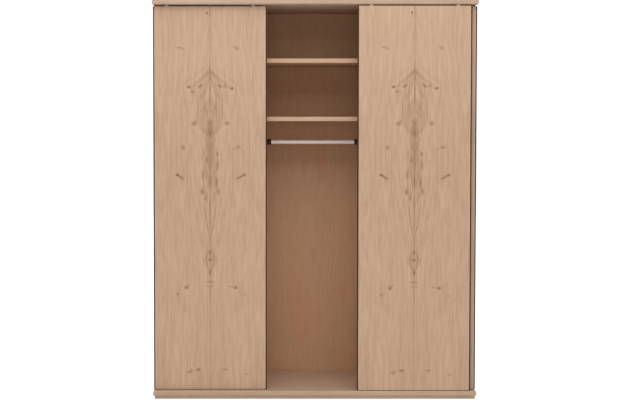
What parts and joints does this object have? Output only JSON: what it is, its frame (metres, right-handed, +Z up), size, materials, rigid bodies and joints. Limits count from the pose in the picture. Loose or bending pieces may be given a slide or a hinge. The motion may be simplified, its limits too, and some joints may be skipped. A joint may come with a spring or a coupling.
{
  "type": "sliding-door wardrobe",
  "caption": "Tall wardrobe with wood-veneered sliding doors on a front and a rear track, inner partitions, shelves and hanging rails.",
  "frame": {"origin": "middle of the footprint on the floor, under the plinth rails", "axes": "+Z up, +X to the right seen from the front, +Y to the back; the doors face -Y"},
  "size_m": [1.812, 0.64, 2.232],
  "materials": {
    "door_veneer": "matt lacquered knotty oak veneer, book-matched",
    "board_oak": "matt lacquered oak veneer, grain along the board",
    "side_oak": "matt oak veneer, upright grain",
    "interior_oak": "matt oak-effect foil",
    "back_panel_oak": "matt oak-effect foil on hardboard",
    "profile_bronze": "satin dark bronze",
    "track_aluminium": "satin champagne anodised",
    "rail_steel": "satin",
    "zinc_steel": "bright zinc",
    "black_plastic": "fine matt",
    "nylon": "satin",
    "stop_rubber": "matt",
    "beech": "plain, fluted beech"
  },
  "bodies": {
    "carcass": {"top_board": "board_oak", "base_board": "board_oak", "front_plinth_rail": "board_oak", "back_plinth_rail": "board_oak", "left_plinth_rail": "board_oak", "right_plinth_rail": "board_oak", "cross_plinth_rails": "board_oak", "left_side_panel": "side_oak", "right_side_panel": "side_oak", "left_partition": "interior_oak", "right_partition": "interior_oak", "left_back_panel": "back_panel_oak", "centre_back_panel": "back_panel_oak", "right_back_panel": "back_panel_oak", "back_nails": "zinc_steel", "front_top_track": "track_aluminium", "rear_top_track": "track_aluminium", "front_bottom_track": "track_aluminium", "rear_bottom_track": "track_aluminium", "track_stops": "stop_rubber", "fixing_screws": "zinc_steel", "centre_upper_shelf": "interior_oak", "centre_lower_shelf": "interior_oak", "left_shelf": "interior_oak", "right_shelf": "interior_oak", "shelf_pins": "zinc_steel", "centre_hanging_rail": "rail_steel", "left_hanging_rail": "rail_steel", "right_hanging_rail": "rail_steel", "rail_brackets": "black_plastic", "dowels": "beech", "cam_bolts": "zinc_steel", "cam_locks": "zinc_steel"},
    "left_door": {"left_door_panel": "door_veneer", "left_door_left_profile": "profile_bronze", "left_door_right_profile": "profile_bronze", "left_door_top_guides": "nylon", "left_door_roller_housings": "black_plastic", "left_door_axles": "zinc_steel", "left_door_screws": "zinc_steel"},
    "left_door_left_roller": {"left_door_left_wheel": "nylon"},
    "left_door_right_roller": {"left_door_right_wheel": "nylon"},
    "middle_door": {"middle_door_panel": "door_veneer", "middle_door_left_profile": "profile_bronze", "middle_door_right_profile": "profile_bronze", "middle_door_top_guides": "nylon", "middle_door_roller_housings": "black_plastic", "middle_door_axles": "zinc_steel", "middle_door_screws": "zinc_steel"},
    "middle_door_left_roller": {"middle_door_left_wheel": "nylon"},
    "middle_door_right_roller": {"middle_door_right_wheel": "nylon"},
    "right_door": {"right_door_panel": "door_veneer", "right_door_left_profile": "profile_bronze", "right_door_right_profile": "profile_bronze", "right_door_top_guides": "nylon", "right_door_roller_housings": "black_plastic", "right_door_axles": "zinc_steel", "right_door_screws": "zinc_steel"},
    "right_door_left_roller": {"right_door_left_wheel": "nylon"},
    "right_door_right_roller": {"right_door_right_wheel": "nylon"}
  },
  "joints": [
    {"name": "left_door_slide", "type": "slide", "parent": "carcass", "child": "left_door", "axis": [1, 0, 0], "range_m": [0, 0.2675]},
    {"name": "left_door_left_wheel_spin", "type": "hinge", "parent": "left_door", "child": "left_door_left_roller", "pos_m": [-0.8275, -0.27, 0.0552], "axis": [0, 1, 0], "continuous": true},
    {"name": "left_door_right_wheel_spin", "type": "hinge", "parent": "left_door", "child": "left_door_right_roller", "pos_m": [-0.3445, -0.27, 0.0552], "axis": [0, 1, 0], "continuous": true},
    {"name": "middle_door_slide", "type": "slide", "parent": "carcass", "child": "middle_door", "axis": [1, 0, 0], "range_m": [-1.1395, 0.0325]},
    {"name": "middle_door_left_wheel_spin", "type": "hinge", "parent": "middle_door", "child": "middle_door_left_roller", "pos_m": [0.312, -0.304, 0.0552], "axis": [0, 1, 0], "continuous": true},
    {"name": "middle_door_right_wheel_spin", "type": "hinge", "parent": "middle_door", "child": "middle_door_right_roller", "pos_m": [0.795, -0.304, 0.0552], "axis": [0, 1, 0], "continuous": true},
    {"name": "right_door_slide", "type": "slide", "parent": "carcass", "child": "right_door", "axis": [1, 0, 0], "range_m": [-0.2675, 0]},
    {"name": "right_door_left_wheel_spin", "type": "hinge", "parent": "right_door", "child": "right_door_left_roller", "pos_m": [0.3445, -0.27, 0.0552], "axis": [0, 1, 0], "continuous": true},
    {"name": "right_door_right_wheel_spin", "type": "hinge", "parent": "right_door", "child": "right_door_right_roller", "pos_m": [0.8275, -0.27, 0.0552], "axis": [0, 1, 0], "continuous": true}
  ],
  "couplings": [
    {"joint": "left_door_left_wheel_spin", "follows": "left_door_slide", "rad_per_m": 90.909},
    {"joint": "left_door_right_wheel_spin", "follows": "left_door_slide", "rad_per_m": 90.909},
    {"joint": "middle_door_left_wheel_spin", "follows": "middle_door_slide", "rad_per_m": 90.909},
    {"joint": "middle_door_right_wheel_spin", "follows": "middle_door_slide", "rad_per_m": 90.909},
    {"joint": "right_door_left_wheel_spin", "follows": "right_door_slide", "rad_per_m": 90.909},
    {"joint": "right_door_right_wheel_spin", "follows": "right_door_slide", "rad_per_m": 90.909}
  ]
}
